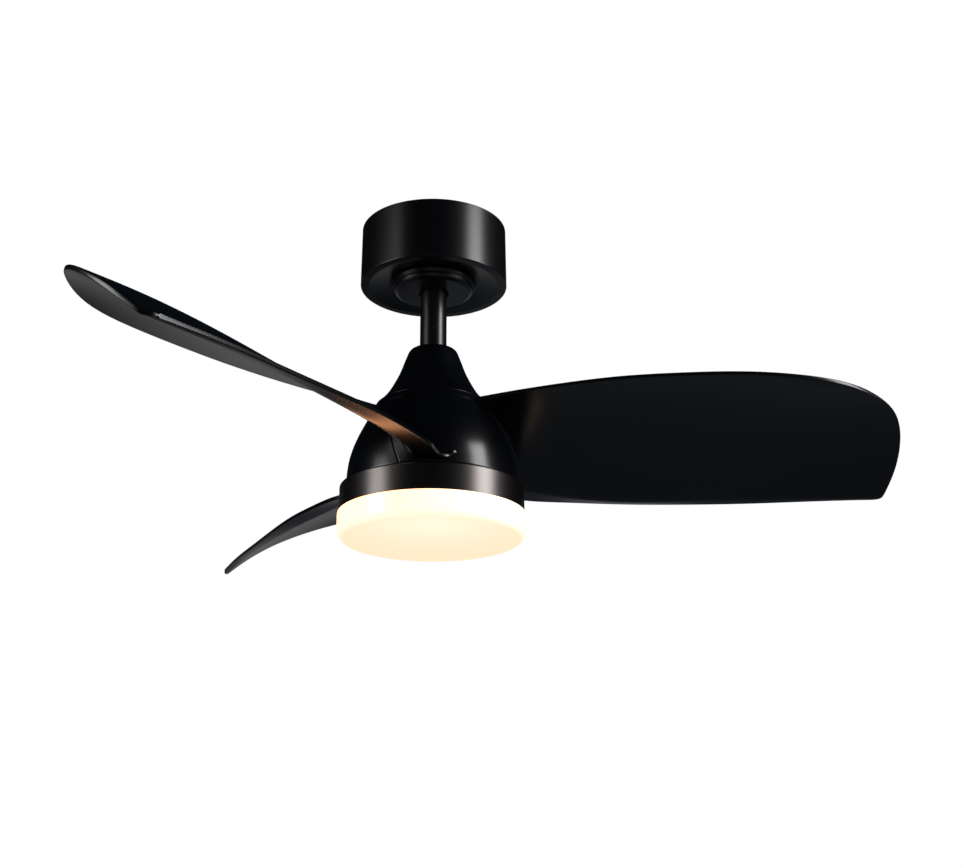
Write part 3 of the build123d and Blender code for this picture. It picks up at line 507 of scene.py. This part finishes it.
# ---------------------------------------------------------------- blades
# Three mouldings in the bell's plastic, screwed to the rotor. Each is a cambered blade with a thin flat
# lip along its trailing edge and a third of the motor dome; the joints between thirds start under a
# blade. OUT is along a blade from the fan's axis, ACROSS is square to it in plan.
BLADE_LINE = -8.4  # degrees, first blade
THICKNESS = 4.0
DOME_WALL = 3.0
DOME_FOOT, DOME_TOP = -275.0, -199.8
JOINT_BEND = -244.8  # where the joint leaves the root and starts to lean
DOME_HEIGHT = np.array([DOME_FOOT, -260.0, -250.0, -240.0, -230.0, -220.0, -210.0, DOME_TOP])
DOME_RADIUS = np.array([83.2, 82.2, 80.6, 77.8, 74.0, 69.4, 64.3, 59.2])
OUT = [44, 86, 130, 185, 250, 320, 390, 470]
LEAD_ACROSS = [-34.5, -46.5, -57.5, -67.5, -71.8, -66.0, -58.0, -52.0]
LEAD_HEIGHT = [-199.0, -198.0, -197.3, -196.8, -197.4, -199.8, -204.0, -209.0]
CREASE_ACROSS = [22.0, 43.0, 60.5, 75.5, 83.0, 89.8, 92.8, 93.2]
CREASE_HEIGHT = [-263.0, -268.0, -272.0, -274.4, -273.4, -272.7, -273.7, -275.2]
BOW = [0.6, 0.6, 0.6, 0.6, 0.65, 0.857, 1.1, 1.15]
TRAIL_ACROSS = [47.0, 69.5, 81.5, 92.0, 96.3, 98.8, 100.4, 94.6]
TRAIL_HEIGHT = [-271.5, -271.5, -271.5, -272.2, -273.5, -274.0, -273.4, -275.4]


def dome_radius(height):
    """Radius of the dome's outer face; above the dome it is the cap's rim."""
    rim = np.interp(height, [-199.5, -192.5], [59.2, 56.0])
    dome = eased(DOME_HEIGHT, DOME_RADIUS, np.clip(height, DOME_FOOT, DOME_TOP))
    return np.where(height > DOME_TOP, rim, dome)


def underside(out, across):
    """Height of a blade's underside over a place in its plan: a parabola that rises from the crease to the
    leading edge, and a straight lip from the crease to the trailing edge that curls up at the root. Half
    the sum of the two and of the root of their squared gap plus 4 joins them softly at the crease."""
    lead, crease, trail = (eased(OUT, row, out) for row in (LEAD_ACROSS, CREASE_ACROSS, TRAIL_ACROSS))
    lead_z, crease_z, trail_z = (eased(OUT, row, out) for row in (LEAD_HEIGHT, CREASE_HEIGHT, TRAIL_HEIGHT))
    part = (crease - across) / (crease - lead)
    bow = eased(OUT, BOW, out)
    steep = crease_z + (lead_z - crease_z) * ((1 + bow) * part - bow * part**2)
    lip = crease_z + (trail_z - crease_z) * np.clip((across - crease) / (trail - crease), -0.5, 1.0)
    curl = np.clip((72.0 - out) / 23.0, 0, 1) * np.clip((across - 48.0) / 16.0, 0, 1)
    lip = lip + 5.5 * curl**3
    return 0.5 * (steep + lip + np.sqrt((steep - lip) ** 2 + 4.0))


def blade_mesh():
    """The blade alone. Each row goes once round a section, from the leading edge along the top and back
    along the underside, with its points closer together at both edges; rows are straight in plan and meet
    at the tip's corner. A point is the middle surface plus or minus half the thickness along the normal,
    rounded off at the edges and swept out at the root by a quarter ellipse."""
    lead_line = smooth_run(
        [
            (44, -34.5),
            (86, -46.5),
            (130, -57.5),
            (185, -67.5),
            (250, -71.3),
            (330, -66.5),
            (386, -49),
            (430, -13.5),
            (446, 9),
            (454.0, 42),
            (453.2, 60),
            (449.6, 75),
            (444.4, 87),
            (440.8, 93.4),
            (436.6, 97.2),
            (430.8, 98.9),
        ],
        260,
    )
    # the trailing edge leaves the dome's face on a hollow curve
    hollow_radius, hollow_out, hollow_across = 25.0, 64.6, 86.5
    hollow = np.radians(-127.0 + 55.0 * np.linspace(0, 1, 14)[:, None])
    flare = np.concatenate(
        [hollow_out + hollow_radius * np.cos(hollow), hollow_across + hollow_radius * np.sin(hollow)], 1
    )
    trail_line = smooth_run(
        [
            (44.0, 66.5),
            *flare,
            (86, 69.0),
            (108, 76.4),
            (130, 81.5),
            (155, 86.9),
            (185, 91.8),
            (217, 94.6),
            (250, 96.3),
            (320, 98.8),
            (385, 100.0),
            (430.8, 98.9),
        ],
        260,
    )
    rows, half = 190, 84
    share = np.linspace(0, 1, 260)
    around = np.linspace(0, 2 * np.pi, 2 * half, endpoint=False)[None, :]
    chord = (1 - np.cos(around)) / 2

    def plan(along):
        """Places across the section at a share of both edge lines, and the section's length."""
        lead = np.stack([np.interp(along, share, column) for column in lead_line.T], -1)
        trail = np.stack([np.interp(along, share, column) for column in trail_line.T], -1)
        return lead + (trail - lead) * chord[..., None], np.linalg.norm(trail - lead, axis=-1)

    # where each line along the blade meets the dome's face, found by halving; the rows start there
    low, high = np.zeros_like(chord), np.full_like(chord, 0.25)
    for _ in range(30):
        middle = (low + high) / 2
        spot = plan(middle)[0]
        height = underside(spot[..., 0], spot[..., 1]) + THICKNESS / 2
        sunk = np.where(height > DOME_TOP, 0.1, 1.5)
        inside = np.hypot(spot[..., 0], spot[..., 1]) < dome_radius(height) - sunk
        low, high = np.where(inside, middle, low), np.where(inside, high, middle)
    step = np.linspace(0, 1, rows)[:, None] ** 1.15
    spot, length = plan(low + (1 - low) * step)
    x, y = spot[..., 0], spot[..., 1]
    tiny = 0.4
    base = underside(x, y)
    normal = np.stack(
        [
            (underside(x - tiny, y) - underside(x + tiny, y)) / (2 * tiny),
            (underside(x, y - tiny) - underside(x, y + tiny)) / (2 * tiny),
            np.ones_like(x),
        ],
        -1,
    )
    normal /= np.linalg.norm(normal, axis=-1, keepdims=True)
    middle = np.stack([x, y, base], -1) + normal * THICKNESS / 2
    edge = np.minimum(chord, 1 - chord) * length
    round_off = np.clip(edge, 0, 1)
    half_thick = THICKNESS / 2 * (1 - (1 - round_off) ** 3) ** (1 / 3)
    clear = np.hypot(middle[..., 0], middle[..., 1]) - dome_radius(middle[..., 2])
    # the fillet's reach over the blade and its depth, small on top and hollow under the trailing half
    upper = np.sin(around) >= 0
    stops = [0.0, 0.3, 0.5, 0.6, 0.7, 0.78, 0.88, 0.95, 1.0]
    reach = np.where(upper, np.interp(chord, [0, 0.3, 0.85, 1.0], [0.3, 2.0, 2.5, 0.3]), 0.0)
    reach = reach + np.interp(chord, stops, [0.3, 1.5, 3.0, 4.5, 9.0, 16.0, 15.0, 7.0, 0.3]) * ~upper
    depth = np.where(upper, reach, np.interp(chord, stops, [0.3, 1.5, 3.0, 4.5, 5.5, 4.8, 3.5, 1.2, 0.0]))
    close = np.clip(1 - clear / reach, 0, 1)
    sweep_out = depth * (1 - np.sqrt(1 - close**2))
    side = np.where(upper, 1.0, -1.0)[..., None]
    grid = middle + side * normal * (half_thick + sweep_out * round_off)[..., None]
    return sheet_of("blade", np.concatenate([middle[:1], grid], 0), wrap_columns=True)


def root_height(angle):
    """Height at which a blade's underside meets the dome's face, found by halving at every angle."""
    low, high = np.full_like(angle, DOME_FOOT), np.full_like(angle, DOME_TOP)
    for _ in range(40):
        middle = (low + high) / 2
        radius = dome_radius(middle)
        above = underside(radius * np.cos(np.radians(angle)), radius * np.sin(np.radians(angle))) > middle
        low, high = np.where(above, middle, low), np.where(above, high, middle)
    return low


def joint_angle(height):
    """Where the joint between two mouldings runs, in degrees past the blade's line: along the root of the
    blade's underside, then leaning as it drops to the light."""
    before = np.linspace(-37.0, 8.6, 60)
    along_root = np.interp(-height, -(root_height(before) + 2.0), before)
    return np.where(height > JOINT_BEND, along_root, 8.8 + 0.28 * (JOINT_BEND - height))


def dome_shell():
    """A third of the dome between two joints. For each angle the run goes up the outer face and back down
    the inner face, a wall's thickness in; the first and last runs lean with the joints, the ones between
    ever less. The ends are zipped and the outer edges slightly broken."""
    gap = 0.15  # degrees of clearance on each side of a joint
    rise = np.linspace(0, 1, 64)[None, :]
    first = joint_angle(np.array(-250.0)) + gap
    last = joint_angle(np.array(-250.0)) + 120.0 - gap
    nominal = np.linspace(first, last, 260)[:, None]
    # past 76 degrees the shell stops just under the next blade's root
    top = np.where(nominal < 76, DOME_TOP, np.minimum(root_height(nominal - 120.0) - 0.3, DOME_TOP))
    height = DOME_FOOT + (top - DOME_FOOT) * rise
    lean = np.clip(1 - (nominal - first) / 60.0, 0, 1) ** 2
    lean_end = np.clip(1 - (last - nominal) / 20.0, 0, 1) ** 2
    drift = joint_angle(height) + gap - first
    drift_end = joint_angle(np.minimum(height, JOINT_BEND)) + gap - first
    turn = np.radians(nominal + drift * lean + drift_end * lean_end)
    broken = np.clip(np.minimum(rise, 1 - rise) / 0.004, 0, 1)
    ends = np.clip(np.minimum(nominal - first, last - nominal) / 0.3, 0, 1)
    face = dome_radius(height)
    outer = face - 0.3 * (1 - broken * ends)
    inner = face - DOME_WALL
    front = np.stack([outer * np.cos(turn), outer * np.sin(turn), height], -1)
    back = np.stack([inner * np.cos(turn), inner * np.sin(turn), height], -1)[:, ::-1]
    loop = np.concatenate([front, back], 1)
    zipped = (loop + loop[:, ::-1]) / 2
    return sheet_of("dome", np.concatenate([zipped[:1], loop, zipped[-1:]], 0), wrap_columns=True)


blade_parts = [blade_mesh(), dome_shell()]
blade_black = half_gloss_black("blade_moulding")
for number in (1, 2, 3):
    turned_parts = [part.copy() for part in blade_parts]
    for part in turned_parts:
        part.transform(Matrix.Rotation(np.radians(BLADE_LINE + 120.0 * (number - 1)), 4, "Z"))
    place(f"fan_blade_{number}", turned_parts, blade_black, "rotor", f"blade_{number}")

# ---------------------------------------------------------------- light ring
# Spun steel ring round the light with a turned-in top flange, plated a warm metallic black. It stays
# still under the turning dome, with the light's board inside it.
ring_black = satin_black("ring_plate", (0.08, 0.074, 0.071), 0.27, 0.00001, 0.1)
ring_black.node_tree.nodes["Principled BSDF"].inputs["Metallic"].default_value = 1.0
ring_run = rounded(
    [
        (80.0, -276.6),
        (89.25, -276.6),
        (89.25, -302.35),
        (87.75, -302.35),
        (87.75, -278.1),
        (80.0, -278.1),
    ],
    [0.4, 1.3, 0.35, 0.35, 0.6, 0.4],
)
place("ring_band", [turned("ring_band", ring_run, 320)], ring_black, "stem", "light_ring")
dress(moulded("white_solder_mask", (0.82, 0.82, 0.8), 0.35), "led_board")
dress(moulded("phosphor", (0.85, 0.62, 0.12), 0.4), "led_chips")

# ---------------------------------------------------------------- diffuser
# Opal acrylic drum with a rounded lower edge, lit warm white from inside, half glossy outside. A neck
# inside the ring carries the lugs that lock it.
opal, tone = finish("opal_acrylic", Roughness=0.22, IOR=1.49, Emission_Strength=6.0)
spot = tone.node("ShaderNodeTexCoord", out=3)
height = tone.node("ShaderNodeSeparateXYZ", sockets={0: spot}, out=2)
# the bottom glows a little warmer towards its rim, and the side more strongly on its left
plan_spot = tone.node("ShaderNodeVectorMath", {"operation": "MULTIPLY"}, {0: spot, 1: (1, 1, 0)})
from_lamps = tone.node(
    "ShaderNodeVectorMath", {"operation": "DISTANCE"}, {0: plan_spot, 1: (0, -0.06, 0)}, out=1
)
cloudy = grain(tone, 24.0, 2.0)
ROUND_LOW, ROUND_HIGH = -0.3268, -0.3205  # metres; the rounded edge between the bottom and the side
side_part = height.between(ROUND_LOW, ROUND_HIGH)
warmth = tone.node("ShaderNodeSeparateXYZ", sockets={0: spot}, out=0).between(0.05, -0.05)
side_glow = warmth.blend((0.23, 0.166, 0.1, 1), (0.72, 0.28, 0.095, 1))
glow = side_part.blend((0.35, 0.158, 0.12, 1), side_glow)
rim_part = from_lamps.between(-0.06, 0.12) * (1 - side_part)
feed(
    opal,
    Base_Color=cloudy.blend((0.8, 0.8, 0.78, 1), (0.86, 0.85, 0.82, 1)),
    Emission_Color=rim_part.blend(glow, (0.33, 0.124, 0.08, 1)),
    Roughness=0.2 + 0.05 * cloudy,
)
drum_corners = [
    (0.0, -327.8),
    (90.7, -327.8),
    (90.7, -302.65),
    (85.6, -302.65),
    (85.6, -293.0),
    (83.8, -293.0),
    (83.8, -304.85),
    (88.5, -304.85),
    (88.5, -325.6),
    (0.0, -325.6),
]
drum_run = rounded(drum_corners, [0.0, 8.0, 0.7, 0.4, 0.5, 0.5, 0.5, 0.7, 5.8, 0.0], 14)
place("opal_drum", [turned("opal_drum", drum_run, 320)], opal, "diffuser", "diffuser")
